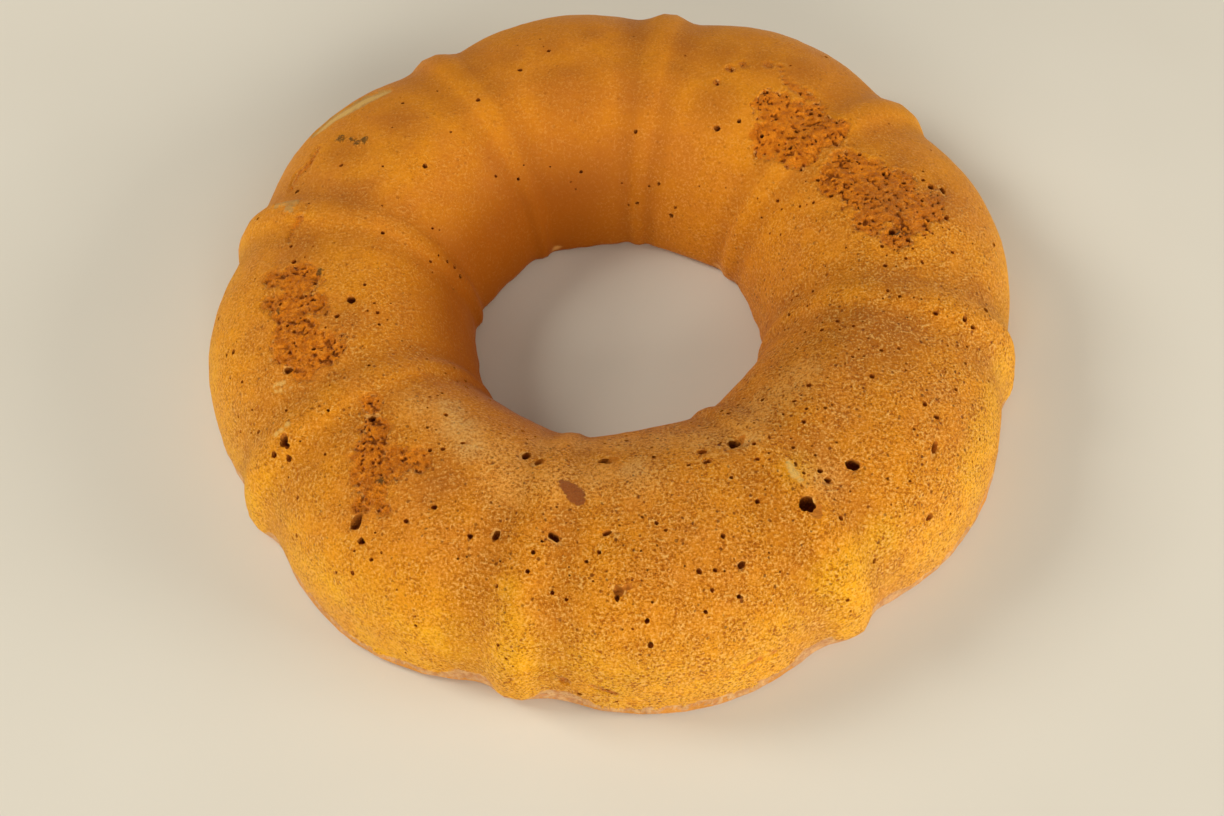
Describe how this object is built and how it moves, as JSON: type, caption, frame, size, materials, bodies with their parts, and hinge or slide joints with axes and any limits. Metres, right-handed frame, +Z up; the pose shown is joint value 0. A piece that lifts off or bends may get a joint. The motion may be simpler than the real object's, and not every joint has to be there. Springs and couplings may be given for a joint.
{
  "type": "carrot cake",
  "caption": "Ring-shaped carrot cake from a fluted mould, broad lobes with narrow ribs between, torn crust patches and open bubbles, standing on its flat base.",
  "frame": {"origin": "middle of the box round the cake, on the flat base that it stands on", "axes": "+Z up through the hole, -Y towards the side that faces the viewer"},
  "size_m": [0.2416, 0.237, 0.044],
  "materials": {
    "crust": "matte golden brown baked crust, uneven, with darker orange crumb where the skin is torn"
  },
  "bodies": {
    "root": {"cake": "crust"}
  },
  "joints": []
}
